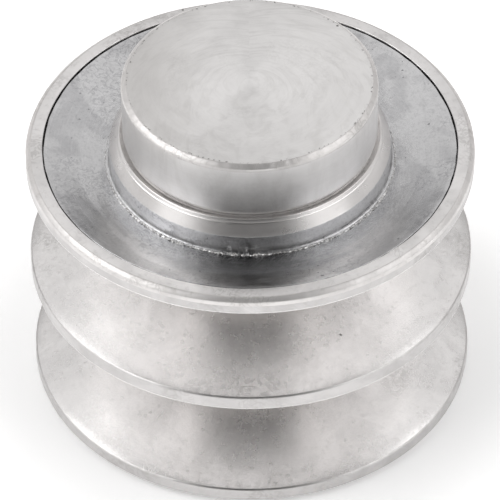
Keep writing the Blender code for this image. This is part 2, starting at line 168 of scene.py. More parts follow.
def outline_of(corners, closed, step, plain=()):
    """A turned outline from its corners (radius, height, corner radius, finish), with arcs and fine runs.

    The finish of a corner is the finish of the stretch that starts there. A stretch whose finish is in plain
    stays one long run.
    """
    count = len(corners)
    points, finishes = [], []
    for i, (r, z, rounding, finish) in enumerate(corners):
        here = np.array([r, z])
        ends = not closed and i in (0, count - 1)
        if rounding > 0.0 and not ends:
            before = np.array(corners[i - 1][:2])
            after = np.array(corners[(i + 1) % count][:2])
            arc = corner_arc(before, here, after, rounding, 5)
        else:
            arc = [here]
        points += arc
        finishes += [finish] * len(arc)
    fine_points, fine_finishes = [], []
    total = len(points)
    for i in range(total if closed else total - 1):
        a = points[i]
        b = points[(i + 1) % total]
        pieces = max(1, math.ceil(np.linalg.norm(b - a) / step))
        if finishes[i] in plain:
            pieces = 1
        fine_points += [a + (b - a) * k / pieces for k in range(pieces)]
        fine_finishes += [finishes[i]] * pieces
    if not closed:
        fine_points.append(points[-1])
    return np.array(fine_points), fine_finishes


def turned(
    name, corners, finishes, facets, closed=True, step=1.2, shape=None, sharp_deg=40.0, plain=()
):
    """A mesh swept round the Z axis from an outline that runs down its outer side.

    shape(radius, height, angle) may return moved radius and height arrays for worn or cast surfaces.
    """
    outline, tags = outline_of(corners, closed, step, plain)
    rows = len(outline)
    angle = FULL_TURN * np.arange(facets) / facets
    radius, theta = np.meshgrid(outline[:, 0], angle, indexing="ij")
    height = np.repeat(outline[:, 1][:, None], facets, axis=1)
    if shape is not None:
        radius, height = shape(radius, height, theta)
    height = height + RIM_BASE
    verts = np.stack([radius * np.cos(theta), radius * np.sin(theta), height], axis=-1)
    verts = verts.reshape(-1, 3) * MM
    rings = rows if closed else rows - 1
    i, j = np.meshgrid(np.arange(rings), np.arange(facets), indexing="ij")
    down = (i + 1) % rows
    on = (j + 1) % facets
    here, below = i * facets, down * facets
    quads = np.stack([here + j, below + j, below + on, here + on], axis=-1)
    mesh = bpy.data.meshes.new(name)
    mesh.from_pydata(verts.tolist(), [], quads.reshape(-1, 4).tolist())
    order = list(dict.fromkeys(tags))
    for tag in order:
        mesh.materials.append(finishes[tag])
    slots = np.repeat([order.index(tag) for tag in tags[:rings]], facets).astype(np.int32)
    mesh.polygons.foreach_set("material_index", slots)
    if not closed:
        close_poles(mesh)
    mesh.shade_smooth()
    mesh.set_sharp_from_angle(angle=math.radians(sharp_deg))
    obj = bpy.data.objects.new(name, mesh)
    bpy.context.scene.collection.objects.link(obj)
    return obj


def close_poles(mesh):
    """Welds the rings that lie on the axis into single points."""
    bm = bmesh.new()
    bm.from_mesh(mesh)
    poles = [v for v in bm.verts if math.hypot(v.co.x, v.co.y) < 1e-9]
    bmesh.ops.remove_doubles(bm, verts=poles, dist=1e-7)
    bm.to_mesh(mesh)
    bm.free()


def put(obj, body, slot, *nodes):
    """Parents a finished piece to its body's empty and hides the CAD nodes that it stands for. slot is not used.
    """
    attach(obj, body)
    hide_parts(*nodes)


def ragged(facets, grain, seed):
    """A closed ring of smooth random values between -1 and 1, with one free value every grain facets."""
    rng = np.random.default_rng(seed)
    knots = max(4, facets // grain)
    values = rng.uniform(-1.0, 1.0, knots)
    place = np.arange(facets) * knots / facets
    low = np.floor(place).astype(int)
    t = place - low
    t = t * t * (3.0 - 2.0 * t)
    return values[low % knots] * (1.0 - t) + values[(low + 1) % knots] * t


def near(values, centre, width):
    """1 at the centre, falling smoothly to 0 at the width."""
    return np.clip(1.0 - np.abs(values - centre) / width, 0.0, 1.0) ** 2


# ---------------------------------------------------------------- node helpers


class Graph:
    """Short ways to add the shader nodes that the finishes use.

    radius is the distance from the spin axis, ring the direction from it, and turn the angle round it from the
    front, all read from object coordinates.
    """

    def __init__(self, name):
        self.material = bpy.data.materials.new(name)
        self.material.use_nodes = True
        self.tree = self.material.node_tree
        self.nodes = self.tree.nodes
        self.shader = self.nodes["Principled BSDF"]
        texture = self.add("ShaderNodeTexCoord")
        self.place = texture.outputs["Object"]
        split = self.add("ShaderNodeSeparateXYZ", self.place)
        self.x, self.y, self.z = split.outputs
        flat = self.add("ShaderNodeCombineXYZ", self.x, self.y)
        self.radius = self.vector("LENGTH", flat.outputs[0])
        self.ring = self.vector("NORMALIZE", flat.outputs[0])
        self.turn = self.math("ARCTAN2", self.x, self.math("MULTIPLY", self.y, -1.0))

    def link(self, value, socket):
        if isinstance(value, bpy.types.NodeSocket):
            self.tree.links.new(value, socket)
        else:
            socket.default_value = value

    def add(self, kind, *values, **settings):
        node = self.nodes.new(kind)
        for key, value in settings.items():
            setattr(node, key, value)
        for value, socket in zip(values, node.inputs):
            self.link(value, socket)
        return node

    def math(self, operation, *values):
        return self.add("ShaderNodeMath", *values, operation=operation).outputs[0]

    def vector(self, operation, *values):
        node = self.add("ShaderNodeVectorMath", *values, operation=operation)
        return node.outputs["Value" if operation == "LENGTH" else "Vector"]

    def remap(self, value, low, high, to_low=0.0, to_high=1.0):
        """A smooth step between two results while the value goes from low to high."""
        limits = (low, high, to_low, to_high)
        node = self.add("ShaderNodeMapRange", value, *limits, interpolation_type="SMOOTHSTEP")
        return node.outputs[0]

    def noise(self, vector, size, detail=3.0, roughness=0.55, distortion=0.0, seed=0.0):
        """Noise whose features measure about size millimetres, or one unit of the vector if size is None."""
        node = self.nodes.new("ShaderNodeTexNoise")
        node.noise_dimensions = "4D"
        self.link(vector, node.inputs["Vector"])
        node.inputs["W"].default_value = seed
        node.inputs["Scale"].default_value = 1.0 if size is None else 1.0 / (size * MM)
        node.inputs["Detail"].default_value = detail
        node.inputs["Roughness"].default_value = roughness
        node.inputs["Distortion"].default_value = distortion
        return node.outputs[0]

    def mix(self, factor, a, b):
        """A colour between a and b."""
        node = self.nodes.new("ShaderNodeMix")
        node.data_type = "RGBA"
        self.link(factor, node.inputs[0])
        self.link(a if isinstance(a, bpy.types.NodeSocket) else (*a, 1.0), node.inputs[6])
        self.link(b if isinstance(b, bpy.types.NodeSocket) else (*b, 1.0), node.inputs[7])
        return node.outputs[2]

    def scaled(self, along, across, up):
        """Surface coordinates round the axis, from it and up it, each divided by its own length in millimetres."""
        arc = self.math("MULTIPLY", self.turn, self.radius)
        parts = [
            self.math("MULTIPLY", arc, 1.0 / (along * MM)),
            self.math("MULTIPLY", self.radius, 1.0 / (across * MM)),
            self.math("MULTIPLY", self.z, 1.0 / (up * MM)),
        ]
        return self.add("ShaderNodeCombineXYZ", *parts).outputs[0]

    def marks(self, pitch, around, seed):
        """Turning marks: noise that changes every pitch across the cut and slowly round the axis."""
        across = self.math("ADD", self.radius, self.z)
        fast = self.math("MULTIPLY", across, 1.0 / (pitch * MM))
        slow = self.vector("SCALE", self.ring)
        slow.node.inputs["Scale"].default_value = around
        mover = self.add("ShaderNodeCombineXYZ", 0.0, 0.0, fast).outputs[0]
        return self.noise(self.vector("ADD", slow, mover), None, 2.0, 0.6, 0.0, seed)

    def contour(self, value, width):
        """Thin lines where a noise crosses its middle value."""
        return self.remap(self.math("ABSOLUTE", self.math("SUBTRACT", value, 0.5)), 0.0, width, 1.0, 0.0)

    def patches(self, size, share, seed):
        """Soft-edged patches that cover about a share of the surface."""
        return self.remap(self.noise(self.place, size, 2.0, 0.5, 0.0, seed), 1.0 - share, 1.08 - share)

    def scratches(self, length, width, turned_by, share, seed):
        """Sparse hairlines along the surface, at an angle to the turning marks and kept in a few patches."""
        arc = self.math("MULTIPLY", self.turn, self.radius)
        across = self.math("ADD", self.radius, self.z)
        surface = self.add("ShaderNodeCombineXYZ", arc, across).outputs[0]
        turned = self.add("ShaderNodeMapping", surface)
        turned.inputs["Rotation"].default_value = (0.0, 0.0, turned_by)
        scale = self.add("ShaderNodeMapping", turned.outputs[0])
        scale.inputs["Scale"].default_value = (1.0 / (length * MM), 1.0 / (width * MM), 1.0)
        wave = self.noise(scale.outputs[0], None, 1.0, 0.5, 0.0, seed)
        return self.math("MULTIPLY", self.contour(wave, 0.045), self.patches(7.0, share, seed + 9.0))

    def curls(self, size, width, share, seed):
        """Curly smudges, kept in a few patches."""
        wave = self.noise(self.place, size, 1.0, 0.5, 1.1, seed)
        return self.math("MULTIPLY", self.contour(wave, width), self.patches(9.0, share, seed + 9.0))

    def pits(self, spacing, size, share, seed):
        """Sparse ragged pits: the middles of a share of the cells of a Voronoi pattern."""
        mapping = self.add("ShaderNodeMapping", self.place)
        mapping.inputs["Location"].default_value = (seed, seed * 0.3, seed * 1.9)
        mapping.inputs["Scale"].default_value = (1.0 / (spacing * MM),) * 3
        cells = self.nodes.new("ShaderNodeTexVoronoi")
        self.link(mapping.outputs[0], cells.inputs["Vector"])
        cells.inputs["Scale"].default_value = 1.0
        reach = self.math("MULTIPLY", self.noise(self.place, size, 1.0), size / spacing)
        spot = self.math("LESS_THAN", cells.outputs["Distance"], reach)
        pick = self.add("ShaderNodeSeparateColor", cells.outputs["Color"]).outputs[0]
        chosen = self.math("GREATER_THAN", pick, 1.0 - share)
        return self.math("MULTIPLY", spot, chosen)

    def bumped(self, height, depth, normal=None):
        """A normal from a height pattern whose full range stands for a depth in millimetres."""
        node = self.nodes.new("ShaderNodeBump")
        node.inputs["Strength"].default_value = 1.0
        node.inputs["Distance"].default_value = depth * MM
        self.link(height, node.inputs["Height"])
        if normal is not None:
            self.link(normal, node.inputs["Normal"])
        return node.outputs[0]

    def turned_grain(self, amount):
        """Stretches highlights across the turning marks."""
        tangent = self.nodes.new("ShaderNodeTangent")
        tangent.direction_type = "RADIAL"
        tangent.axis = "Z"
        self.shader.inputs["Anisotropic"].default_value = amount
        self.shader.inputs["Anisotropic Rotation"].default_value = 0.25
        self.link(tangent.outputs[0], self.shader.inputs["Tangent"])

    def finish(self, colour, roughness, normal, metallic=1.0):
        self.link(colour, self.shader.inputs["Base Color"])
        self.link(roughness, self.shader.inputs["Roughness"])
        self.link(normal, self.shader.inputs["Normal"])
        self.shader.inputs["Metallic"].default_value = metallic
        return self.material


# ---------------------------------------------------------------- finishes


def machined_aluminium(
    name, tone, roughness, grain, seed, marks=0.08, wear=1.0, smears_and_shade=0.0, edge_radius=None
):
    """Bare turned aluminium, dulled by tumbling: faint marks, clouded stains, curly smudges, hairs and pores.

    marks is how dark the turning marks are, wear how strong the stains and scratches are, smears_and_shade how
    dark the stains that run down a wall are, how much darker the metal grows towards the outside and how dark the
    painted shade on the left side is, and edge_radius the radius of a corner with dark crumbs, in millimetres.
    """
    g = Graph(name)
    dull = tuple((1.0 - 0.13 * wear) * c for c in tone)
    cloud = g.noise(g.place, 8.0, 4.0, 0.6, 0.8, seed)
    colour = g.mix(g.remap(cloud, 0.36, 0.62), dull, tone)
    mottle = g.noise(g.place, 0.9, 3.0, 0.65, 0.5, seed + 1.0)
    colour = g.mix(g.remap(mottle, 0.5, 0.78, 0.0, 0.30 * wear), colour, STAIN_AND_SHADE)
    streak = g.marks(0.22, 1.2, seed)
    coarse = g.marks(1.1, 2.5, seed + 2.0)
    turned_tone = g.math("ADD", g.math("MULTIPLY", streak, 0.5), g.math("MULTIPLY", coarse, 0.5))
    colour = g.mix(g.remap(turned_tone, 0.35, 0.65, 0.0, marks), colour, STAIN_AND_SHADE)
    smudge = g.curls(1.1, 0.10, 0.46, seed + 3.0)
    colour = g.mix(g.math("MULTIPLY", smudge, 0.32 * wear), colour, STAIN_AND_SHADE)
    if smears_and_shade > 0.0:
        run = g.noise(g.scaled(3.0, 3.0, 9.0), None, 3.0, 0.6, 1.2, seed + 4.0)
        colour = g.mix(g.remap(run, 0.45, 0.70, 0.0, smears_and_shade), colour, STAIN_AND_SHADE)
        # Darker towards the outside.
        outward = g.remap(g.radius, 7.0 * MM, 15.0 * MM, 0.0, 0.4 * smears_and_shade)
        colour = g.mix(outward, colour, STAIN_AND_SHADE)
        # Painted shade: the left side is painted darker, standing in for the dim side of the turned face's sheen.
        painted_shade_side = g.math("ADD", g.x, g.math("MULTIPLY", cloud, 9.0 * MM))
        colour = g.mix(g.remap(painted_shade_side, -10.0 * MM, 1.0 * MM, 2.2 * smears_and_shade, 0.0), colour, STAIN_AND_SHADE)
    long_hair = g.scratches(5.0, 0.30, 0.6, 0.44, seed)
    short_hair = g.scratches(3.5, 0.25, -0.9, 0.42, seed + 3.1)
    hair = g.math("MAXIMUM", long_hair, short_hair)
    colour = g.mix(g.math("MULTIPLY", hair, 0.16 * wear), colour, BRIGHT_HAIR)
    pore = g.pits(3.2, 0.34, 0.10, seed)
    if edge_radius is not None:
        off_edge = g.math("ABSOLUTE", g.math("SUBTRACT", g.radius, edge_radius * MM))
        crumbs = g.remap(g.noise(g.place, 0.5, 2.0, 0.6, 0.0, seed + 5.0), 0.54, 0.62)
        crumbs = g.math("MULTIPLY", crumbs, g.patches(5.0, 0.62, seed + 6.0))
        crumbs = g.math("MULTIPLY", crumbs, g.remap(off_edge, 0.08 * MM, 0.42 * MM, 1.0, 0.0))
        pore = g.math("MAXIMUM", pore, crumbs)
    colour = g.mix(g.math("MULTIPLY", pore, 0.8), colour, PORE)
    clouded = g.remap(cloud, 0.3, 0.7, 0.04, -0.02)
    mottled = g.remap(mottle, 0.3, 0.8, -0.02, 0.08 * wear)
    rough = g.math("ADD", g.math("ADD", clouded, mottled), roughness)
    spoiled = g.math("MAXIMUM", pore, smudge)
    rough = g.math("ADD", rough, g.math("MULTIPLY", spoiled, 0.08 * wear))
    normal = g.bumped(turned_tone, 0.003)
    normal = g.bumped(mottle, 0.006 * wear, normal)
    normal = g.bumped(g.math("SUBTRACT", 1.0, pore), 0.03, normal)
    g.turned_grain(grain)
    return g.finish(colour, rough, normal)


def cast_aluminium():
    """Cast skin: cool grey and smooth, with stains, dark specks and scuffs.

    The collar's wall is rubbed lighter. On the front side, black is painted at the collar's foot: painted shade in
    the crease and a painted reflection of the dark front of the room, which turns with the pulley.
    """
    g = Graph("cast_skin")
    light, dark = (0.62, 0.62, 0.628), (0.52, 0.52, 0.53)
    broad = g.noise(g.place, 11.0, 2.0, 0.5, 1.2, 1.0)
    colour = g.mix(g.remap(broad, 0.44, 0.54), dark, light)
    from_foot = g.math("SUBTRACT", g.radius, WEB_FOOT_RADIUS * MM)
    wall = g.remap(from_foot, -0.4 * MM, 0.0, 0.45, 0.0)
    colour = g.mix(wall, colour, RUBBED_CAST)
    mottle = g.noise(g.place, 1.2, 4.0, 0.65, 0.5, 2.0)
    colour = g.mix(g.remap(mottle, 0.50, 0.76, 0.0, 0.35), colour, (0.38, 0.38, 0.39))
    worn = g.remap(from_foot, 0.5 * MM, 5.0 * MM, 0.7, 0.2)
    # Painted shade: black painted at the collar's foot on the front side only, standing in for the crease's shade
    # and the dark front of the room reflected there.
    wander = g.math("MULTIPLY", g.math("SUBTRACT", mottle, 0.5), 0.6)
    aside = g.math("ADD", g.math("ABSOLUTE", g.turn), wander)
    ahead = g.remap(aside, math.radians(8.0), math.radians(32.0), 1.0, 0.0)
    foot = (RIM_BASE + WEB_FOOT_HEIGHT) * MM
    low = g.remap(g.z, foot + 0.3 * MM, foot + 1.4 * MM, 1.0, 0.0)
    on_web = g.remap(from_foot, -0.3 * MM, 0.0)
    outward = g.remap(from_foot, 1.0 * MM, 8.0 * MM, 1.0, 0.1)
    near_foot = g.math("MULTIPLY", g.math("MAXIMUM", low, on_web), outward)
    painted_shade_mask = g.math("MULTIPLY", g.math("MULTIPLY", ahead, near_foot), 0.75)
    colour = g.mix(painted_shade_mask, colour, PAINTED_SHADE)
    steep_scuff = g.scratches(2.6, 0.20, 1.1, 0.62, 2.3)
    flat_scuff = g.scratches(2.0, 0.18, -0.4, 0.62, 5.9)
    scuff = g.math("MULTIPLY", g.math("MAXIMUM", steep_scuff, flat_scuff), worn)
    colour = g.mix(g.math("MULTIPLY", scuff, 0.40), colour, (0.90, 0.90, 0.91))
    swirl = g.curls(1.3, 0.07, 0.50, 7.0)
    colour = g.mix(g.math("MULTIPLY", swirl, 0.40), colour, (0.27, 0.27, 0.285))
    speck = g.math("MAXIMUM", g.pits(1.1, 0.26, 0.20, 1.4), g.pits(2.7, 0.42, 0.14, 6.2))
    colour = g.mix(g.math("MULTIPLY", speck, 0.65), colour, (0.12, 0.12, 0.13))
    rough = g.math("ADD", g.remap(mottle, 0.3, 0.75, 0.08, 0.20), g.math("MULTIPLY", wall, 0.45))
    lines = g.remap(g.marks(0.28, 5.0, 8.0), 0.50, 0.68)
    colour = g.mix(g.math("MULTIPLY", lines, 0.18), colour, RUBBED_CAST)
    dull = g.math("ADD", g.math("MULTIPLY", scuff, 0.30), g.math("MULTIPLY", lines, 0.07))
    rough = g.math("ADD", rough, dull)
    grain = g.noise(g.place, 0.4, 3.0, 0.6, 0.0, 3.0)
    colour = g.mix(g.remap(grain, 0.45, 0.70, 0.0, 0.25), colour, (0.30, 0.30, 0.31))
    cut = g.math("MAXIMUM", speck, g.math("MULTIPLY", scuff, 0.4))
    normal = g.bumped(mottle, 0.012)
    normal = g.bumped(grain, 0.006, normal)
    normal = g.bumped(g.math("SUBTRACT", 1.0, cut), 0.02, normal)
    return g.finish(colour, rough, normal)


def torn_aluminium():
    """The bright, torn metal of the burr at the collar's foot."""
    g = Graph("torn_metal")
    crumb = g.noise(g.place, 0.35, 3.0, 0.7, 0.0, 4.0)
    dirt = g.noise(g.place, 2.4, 2.0, 0.6, 0.0, 5.0)
    colour = g.mix(g.remap(crumb, 0.38, 0.60), (0.46, 0.45, 0.44), (0.93, 0.925, 0.92))
    colour = g.mix(g.remap(dirt, 0.60, 0.72, 0.0, 0.7), colour, (0.26, 0.23, 0.19))
    return g.finish(colour, g.remap(crumb, 0.3, 0.7, 0.55, 0.32), g.bumped(crumb, 0.12))


def steel(name, colour, roughness, grain=0.0):
    """Ground or plated steel with fine marks and a soft change of tone."""
    g = Graph(name)
    tone = g.noise(g.place, 5.0, 3.0)
    fine = g.marks(0.25, 1.2, 0.0)
    darker = tuple(0.75 * c for c in colour)
    shade = g.mix(g.remap(tone, 0.3, 0.7), darker, colour)
    rough = g.remap(fine, 0.3, 0.7, roughness - 0.05, roughness + 0.08)
    if grain > 0.0:
        g.turned_grain(grain)
    return g.finish(shade, rough, g.bumped(fine, 0.004))


def nitrile(name):
    """Matt black moulded rubber with a fine surface grain."""
    g = Graph(name)
    tone = g.noise(g.place, 3.0, 3.0)
    grain = g.noise(g.place, 0.3, 2.0)
    colour = g.mix(g.remap(tone, 0.3, 0.7), (0.012, 0.012, 0.012), (0.03, 0.03, 0.031))
    return g.finish(colour, g.remap(grain, 0.3, 0.7, 0.5, 0.7), g.bumped(grain, 0.01), 0.0)


# ---------------------------------------------------------------- rim, hub and cap


def groove_corners(centre):
    """The corners of one V groove, upper land edge first."""
    half = GROOVE_MOUTH / 2.0
    root = OUTER_RADIUS - GROOVE_DEPTH
    half_root = half - GROOVE_DEPTH * math.tan(HALF_ANGLE)
    return [
        (OUTER_RADIUS, centre + half, EDGE_RADIUS, "turned"),
        # The bottom of the groove gets the darker root finish.
        (root, centre + half_root, 1.0, "dirty"),
        (root, centre - half_root, 1.0, "turned"),
        (OUTER_RADIUS, centre - half, EDGE_RADIUS, "land"),
    ]


def rim_wear(radius, height, theta):
    """Tiny dents along the rim's sharp edges."""
    facets = theta.shape[1]
    inner = near(height, RIM_TOP, 0.5) * near(radius, WEB_EDGE_RADIUS + SEAM, 0.5)
    outer = near(radius, OUTER_RADIUS, 0.25)
    dent = np.clip(ragged(facets, 3, 11), 0.55, 1.0) - 0.55
    nick = np.clip(ragged(facets, 5, 12), 0.7, 1.0) - 0.7
    radius = radius + 0.12 * inner * ragged(facets, 7, 13) * 0.5 - outer * (0.08 * dent + 0.12 * nick)
    return radius, height


def build_rim(finishes):
    corners = [
        (WEB_EDGE_RADIUS + SEAM_SEEN, RIM_TOP, 0.10, "face"),
        (OUTER_RADIUS - BEVEL_WIDTH, RIM_TOP, 0.45, "edge"),
        (OUTER_RADIUS, RIM_TOP - 0.52, 0.45, "edge"),
        (OUTER_RADIUS, RIM_TOP - 1.2, 0.0, "land"),
    ]
    corners += groove_corners(LOWER_GROOVE + GROOVE_PITCH)
    corners += groove_corners(LOWER_GROOVE)
    corners += [
        (OUTER_RADIUS, 0.0, 0.3, "land"),
        (29.3, 0.0, 0.15, "turned"),
        (28.8, BASE_RECESS, 0.4, "turned"),
        (RIM_BORE, BASE_RECESS, 0.1, "turned"),
        (RIM_BORE, SEAT_INNER, 0.0, "turned"),
        (WEB_EDGE_RADIUS + SEAM_SEEN, SEAT_OUTER, 0.0, "turned"),
    ]
    rim = turned("rim_detail", corners, finishes, RIM_FACETS, shape=rim_wear)
    put(rim, "pulley", "turned_aluminium", "grooved_rim")


def hub_wear(radius, height, theta):
    """Cast unevenness of the web and a ragged web edge."""
    facets = theta.shape[1]
    edge = near(radius, WEB_EDGE_RADIUS, 0.5) * (height > 39.0)
    radius = radius + edge * (0.05 * ragged(facets, 4, 21) - 0.05)
    web = (radius > 22.0) & (radius < 29.5) & (height > 37.0)
    broad = 0.03 * ragged(facets, 24, 22) * np.sin(radius * 1.3)
    fine = 0.015 * ragged(facets, 9, 23) * np.cos(radius * 3.1)
    height = height + np.where(web, broad + fine, 0.0)
    return radius, height


def build_hub(finishes):
    barrel = RIM_BORE - SEAM
    foot = WEB_FOOT_HEIGHT
    corners = [
        (CAP_SEAT, COLLAR_TOP, 0.1, "cone"),
        (17.5, COLLAR_TOP, 0.1, "edge"),
        (18.1, COLLAR_TOP - 0.24, 0.35, "edge"),
        (COLLAR_LIP_RADIUS - 0.08, COLLAR_TOP - 0.02, 0.12, "cone"),
        (19.2, COLLAR_TOP - 0.44, 0.03, "cone"),
        (19.14, COLLAR_TOP - 0.50, 0.03, "cone"),
        (19.26, COLLAR_TOP - 0.57, 0.03, "cone"),
        (COLLAR_CAST_RADIUS, COLLAR_CAST_HEIGHT, 0.2, "cast"),
        (20.48, foot, 0.4, "cast"),
        (25.0, foot + 0.95, 2.0, "cast"),
        (WEB_EDGE_RADIUS, WEB_EDGE_HEIGHT, 0.1, "cast"),
        (WEB_EDGE_RADIUS, SEAT_OUTER + SEAM, 0.1, "cast"),
        (barrel, SEAT_INNER + SEAM, 0.2, "faced"),
        (barrel, BASE_RECESS, 0.15, "faced"),
        (HOUSING_RADIUS + 0.5, BASE_RECESS, 0.0, "faced"),
        (HOUSING_RADIUS, BASE_RECESS + 0.5, 0.0, "faced"),
        (HOUSING_RADIUS, CIRCLIP_GROOVE_LOW, 0.0, "faced"),
        (CIRCLIP_GROOVE_RADIUS, CIRCLIP_GROOVE_LOW, 0.0, "faced"),
        (CIRCLIP_GROOVE_RADIUS, CIRCLIP_GROOVE_HIGH, 0.0, "faced"),
        (HOUSING_RADIUS, CIRCLIP_GROOVE_HIGH, 0.0, "faced"),
        (HOUSING_RADIUS, HOUSING_END, 0.0, "faced"),
        (12.3, HOUSING_END, 0.0, "faced"),
        (12.3, CAP_POCKET, 0.0, "faced"),
        (CAP_SEAT, CAP_POCKET, 0.0, "faced"),
    ]
    hub = turned(
        "hub_detail", corners, finishes, HUB_FACETS, step=0.6, shape=hub_wear, plain=("faced",)
    )
    put(hub, "pulley", "cast_aluminium", "cast_hub")


def burr_wear(radius, height, theta):
    """Tears the burr into crumbs; it is heavy on both sides of the front and thin behind."""
    rows, facets = theta.shape
    left = near(np.cos(theta + 0.65 * math.pi), 1.0, 0.75)
    right = near(np.cos(theta + 0.33 * math.pi), 1.0, 0.75)
    size = 0.30 + 0.70 * np.clip(left + right, 0.0, 1.0) + 0.25 * ragged(facets, 40, 41)
    crumbs = np.array([ragged(facets, 2, 50 + row) for row in range(rows)])
    lumps = ragged(facets, 8, 42)
    swell = np.clip(size * (0.80 + size * (0.60 * crumbs + 0.45 * lumps)), 0.18, 1.7)
    wander = 0.06 * ragged(facets, 16, 43) + 0.05 * size * ragged(facets, 3, 44)
    radius = BURR_RADIUS + wander + (radius - BURR_RADIUS) * swell
    height = BURR_HEIGHT + 0.06 * size * ragged(facets, 3, 45) + (height - BURR_HEIGHT) * swell
    return radius, height


def build_burr(finishes):
    """The torn rag of metal where the turning tool stopped at the foot of the collar."""
    corners = []
    for turn in (FULL_TURN * i / 8 for i in range(8)):
        radius = BURR_RADIUS + BURR_SIZE * math.sin(turn)
        height = BURR_HEIGHT + 0.8 * BURR_SIZE * math.cos(turn)
        corners.append((radius, height, 0.0, "torn"))
    burr = turned("collar_burr", corners, finishes, BURR_FACETS, shape=burr_wear, sharp_deg=60.0)
    put(burr, "pulley", "cast_aluminium", "cast_hub")


def cap_wear(radius, height, theta):
    """A knocked and slightly uneven edge round the cap's face."""
    facets = theta.shape[1]
    edge = near(height, CAP_TOP, 1.1) * near(radius, CAP_RADIUS - 0.35, 0.8)
    long_dent = 0.5 * ragged(facets, 10, 31)
    short_dent = 0.5 * np.clip(ragged(facets, 3, 32), 0.2, 1.0)
    height = height - 0.17 * edge * np.clip(long_dent + short_dent, 0.0, 1.0)
    radius = radius - 0.14 * edge * np.abs(ragged(facets, 4, 33))
    return radius, height


def build_cap(finishes):
    corners = [
        (0.0, CAP_TOP, 0.0, "faced"),
        (CAP_RADIUS - BEVEL_WIDTH, CAP_TOP, BEVEL_ROUNDING, "edge"),
        (CAP_RADIUS, CAP_TOP - 0.5, BEVEL_ROUNDING, "edge"),
        (CAP_RADIUS, CAP_TOP - 1.0, 0.0, "faced"),
        (CAP_RADIUS, 44.0, 0.4, "faced"),
        (17.95, CAP_UNDERSIDE, 0.12, "faced"),
        (SPIGOT_RADIUS, CAP_UNDERSIDE, 0.0, "faced"),
        (SPIGOT_RADIUS, RING_GROOVE_HIGH, 0.0, "faced"),
        (RING_GROOVE_RADIUS, RING_GROOVE_HIGH, 0.0, "faced"),
        (RING_GROOVE_RADIUS, RING_GROOVE_LOW, 0.0, "faced"),
        (SPIGOT_RADIUS, RING_GROOVE_LOW, 0.0, "faced"),
        (SPIGOT_RADIUS, SPIGOT_END, 0.0, "faced"),
        (SPIGOT_BORE, SPIGOT_END, 0.0, "faced"),
        (SPIGOT_BORE, CAP_TOP - 5.0, 0.0, "faced"),
        (11.4, CAP_TOP - 3.5, 0.0, "faced"),
        (0.0, CAP_TOP - 3.5, 0.0, "faced"),
    ]
    cap = turned("cap_detail", corners, finishes, HUB_FACETS, closed=False, step=0.9, shape=cap_wear)
    put(cap, "pulley", "faced_aluminium", "hub_cap")


# ---------------------------------------------------------------- spindle, seal and bearings


def thread(radius, height, theta):
    """Cuts a right-hand thread into the bolt hole: the wall's radius follows a helix of triangular teeth."""
    phase = (height / THREAD_PITCH - theta / FULL_TURN) % 1.0
    tooth = 1.0 - 2.0 * np.abs(phase - 0.5)
    in_hole = (radius < BOLT_HOLE + 0.01) & (radius > BOLT_HOLE - 0.01)
    return radius + in_hole * THREAD_DEPTH * tooth, height


def build_spindle(finishes):
    """The fixed stub axle with its seat flange and its threaded hole from below."""
    seat = -RIM_BASE
    corners = [
        (0.0, SPINDLE_TOP, 0.0, "zinc_steel"),
        (SPINDLE_RADIUS, SPINDLE_TOP, 0.65, "zinc_steel"),
        (SPINDLE_RADIUS, SHOULDER_HEIGHT, 0.0, "zinc_steel"),
        (SHOULDER_RADIUS, SHOULDER_HEIGHT, 0.2, "zinc_steel"),
        (SHOULDER_RADIUS, FLANGE_HEIGHT, 0.0, "zinc_steel"),
        (FLANGE_RADIUS, FLANGE_HEIGHT, 0.3, "zinc_steel"),
        (FLANGE_RADIUS, seat, 0.3, "zinc_steel"),
        (4.4, seat, 0.05, "zinc_steel"),
        (BOLT_HOLE, seat + 1.0, 0.0, "zinc_steel"),
    ]
    turns_down = np.arange(seat + 1.1, 21.0, THREAD_PITCH / 8.0)
    corners += [(BOLT_HOLE, float(z), 0.0, "zinc_steel") for z in turns_down]
    corners += [
        (BOLT_HOLE - 0.02, 21.1, 0.0, "zinc_steel"),
        (BOLT_HOLE - 0.02, 24.0, 0.0, "zinc_steel"),
        (0.0, 26.0, 0.0, "zinc_steel"),
    ]
    spindle = turned("spindle_detail", corners, finishes, SPINDLE_FACETS, closed=False, shape=thread)
    put(spindle, "axle", "zinc_steel", "spindle")


def build_shaft_seal(finishes):
    """The seal's rubber case with its ribbed outside, dished face and lip."""
    ribs = [(13.85 - 0.12 * (i % 2), 4.2 - 0.2 * i, 0.0, "rubber") for i in range(12)]
    corners = [(9.3, 4.35, 0.1, "rubber"), (13.7, 4.35, 0.1, "rubber")]
    corners += ribs
    corners += [
        (13.55, 1.6, 0.15, "rubber"),
        (12.75, 1.6, 0.2, "rubber"),
        (12.75, 3.35, 0.3, "rubber"),
        (10.2, 3.35, 0.3, "rubber"),
        (9.2, 2.1, 0.2, "rubber"),
        (8.32, 2.3, 0.1, "rubber"),
        (8.32, 2.7, 0.1, "rubber"),
    ]
    seal = turned("shaft_seal_detail", corners, finishes, SEAL_FACETS, step=0.8)
    put(seal, "pulley", "rubber", "shaft_seal")


def section_of(name):
    """The outline of a ring-shaped CAD node in its y = 0 half-plane, down its outer side."""
    node = frame["nodes"][name]
    places = [node.matrix_world @ vertex.co / MM for vertex in node.data.vertices]
    cut = [p for p in places if abs(p.y) < 0.001 and p.x > 0.0]
    points = {(round(p.x, 3), round(p.z - RIM_BASE, 3)) for p in cut}
    middle = np.mean(list(points), axis=0)
    return sorted(points, key=lambda p: -math.atan2(p[1] - middle[1], p[0] - middle[0]))


def build_ring(name, body, slot, finishes):
    """A plain ring swept again with fine facets from the CAD node's own section."""
    corners = [(r, z, 0.0, slot) for r, z in section_of(name)]
    ring = turned(name + "_detail", corners, finishes, RING_FACETS, sharp_deg=30.0)
    put(ring, body, slot, name)


